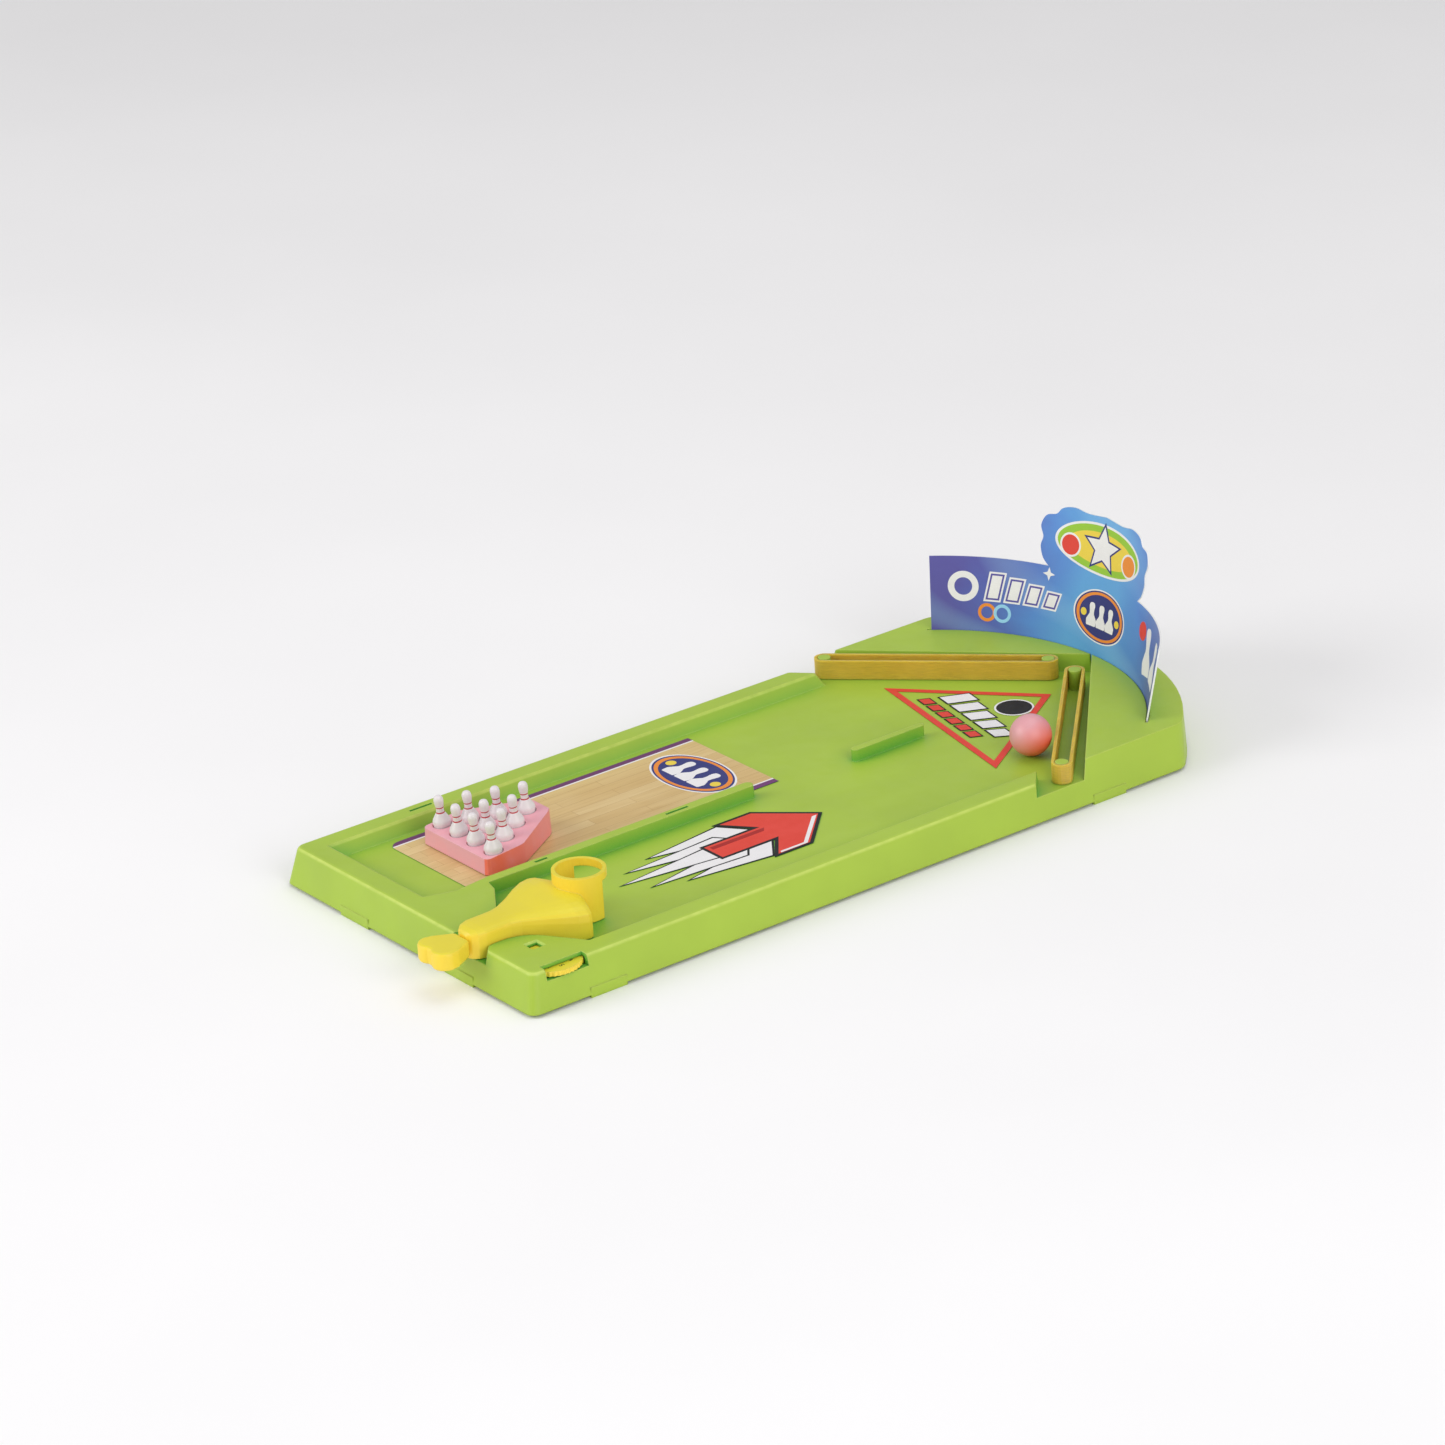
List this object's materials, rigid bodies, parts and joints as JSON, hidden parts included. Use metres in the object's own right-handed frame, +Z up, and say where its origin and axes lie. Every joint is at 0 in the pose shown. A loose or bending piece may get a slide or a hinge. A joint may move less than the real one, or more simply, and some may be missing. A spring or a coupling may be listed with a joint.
{
  "type": "tabletop bowling game",
  "caption": "Tabletop bowling game: moulded tray with a pin lane, spring launcher with ball cup, score dial, pin rack, rubber bumper bands, ball and curved backdrop card.",
  "frame": {"origin": "middle of the footprint, on the surface that the feet stand on", "axes": "+X to the launcher's side, +Y along the lanes away from the player, +Z up"},
  "size_m": [0.198, 0.4508, 0.0913],
  "materials": {
    "green_plastic": "satin",
    "yellow_plastic": "satin",
    "ochre_rubber": "satin",
    "pink_plastic": "satin",
    "coral_plastic": "gloss",
    "white_plastic": "gloss",
    "printed_card": "satin",
    "wood_print": "gloss",
    "red_print": "gloss",
    "steel": "satin"
  },
  "bodies": {
    "tray": {"base_tray": "green_plastic", "rubber_band_left": "ochre_rubber", "rubber_band_right": "ochre_rubber", "lane_sticker": "wood_print", "arrow_sticker": "red_print", "target_sticker": "red_print", "dial_washer": "steel", "dial_screw": "steel"},
    "launcher": {"launcher_housing": "yellow_plastic", "launcher_base_plate": "yellow_plastic", "launcher_screw_left": "steel", "launcher_screw_right": "steel", "pivot_washer": "steel", "pivot_screw": "steel", "plunger_spring": "steel"},
    "plunger": {"plunger_rod": "yellow_plastic", "striker_head": "yellow_plastic", "pull_knob": "yellow_plastic", "knob_screw": "steel"},
    "dial": {"score_dial": "yellow_plastic"},
    "rack": {"pin_rack": "pink_plastic"},
    "ball": {"ball": "coral_plastic"},
    "card": {"backdrop_card": "printed_card"},
    "pin_01": {"pin_01": "white_plastic"},
    "pin_02": {"pin_02": "white_plastic"},
    "pin_03": {"pin_03": "white_plastic"},
    "pin_04": {"pin_04": "white_plastic"},
    "pin_05": {"pin_05": "white_plastic"},
    "pin_06": {"pin_06": "white_plastic"},
    "pin_07": {"pin_07": "white_plastic"},
    "pin_08": {"pin_08": "white_plastic"},
    "pin_09": {"pin_09": "white_plastic"},
    "pin_10": {"pin_10": "white_plastic"}
  },
  "joints": [
    {"name": "launcher_aim", "type": "hinge", "parent": "tray", "child": "launcher", "pos_m": [0.0475, -0.192, 0.0133], "axis": [0, 0, 1], "range_deg": [-6, 6]},
    {"name": "plunger_pull", "type": "slide", "parent": "launcher", "child": "plunger", "axis": [0, -1, 0], "range_m": [0, 0.018], "stiffness_N_per_m": 120, "springref_m": -0.006, "deforming": ["plunger_spring"]},
    {"name": "score_dial_turn", "type": "hinge", "parent": "tray", "child": "dial", "pos_m": [0.0823, -0.1834, 0.0164], "axis": [0, 0, 1], "continuous": true},
    {"name": "rack_lift", "type": "slide", "parent": "tray", "child": "rack", "axis": [0, 0, 1], "range_m": [0, 0.06]},
    {"name": "ball_lift", "type": "slide", "parent": "tray", "child": "ball", "axis": [0, 0, 1], "range_m": [0, 0.06]},
    {"name": "card_lift", "type": "slide", "parent": "tray", "child": "card", "axis": [0, 0, 1], "range_m": [0, 0.06]},
    {"name": "pin_01_lift", "type": "slide", "parent": "rack", "child": "pin_01", "axis": [0, -0.0872, 0.9962], "range_m": [0, 0.03]},
    {"name": "pin_02_lift", "type": "slide", "parent": "rack", "child": "pin_02", "axis": [0, -0.0872, 0.9962], "range_m": [0, 0.03]},
    {"name": "pin_03_lift", "type": "slide", "parent": "rack", "child": "pin_03", "axis": [0, -0.0872, 0.9962], "range_m": [0, 0.03]},
    {"name": "pin_04_lift", "type": "slide", "parent": "rack", "child": "pin_04", "axis": [0, -0.0872, 0.9962], "range_m": [0, 0.03]},
    {"name": "pin_05_lift", "type": "slide", "parent": "rack", "child": "pin_05", "axis": [0, -0.0872, 0.9962], "range_m": [0, 0.03]},
    {"name": "pin_06_lift", "type": "slide", "parent": "rack", "child": "pin_06", "axis": [0, -0.0872, 0.9962], "range_m": [0, 0.03]},
    {"name": "pin_07_lift", "type": "slide", "parent": "rack", "child": "pin_07", "axis": [0, -0.0872, 0.9962], "range_m": [0, 0.03]},
    {"name": "pin_08_lift", "type": "slide", "parent": "rack", "child": "pin_08", "axis": [0, -0.0872, 0.9962], "range_m": [0, 0.03]},
    {"name": "pin_09_lift", "type": "slide", "parent": "rack", "child": "pin_09", "axis": [0, -0.0872, 0.9962], "range_m": [0, 0.03]},
    {"name": "pin_10_lift", "type": "slide", "parent": "rack", "child": "pin_10", "axis": [0, -0.0872, 0.9962], "range_m": [0, 0.03]}
  ]
}
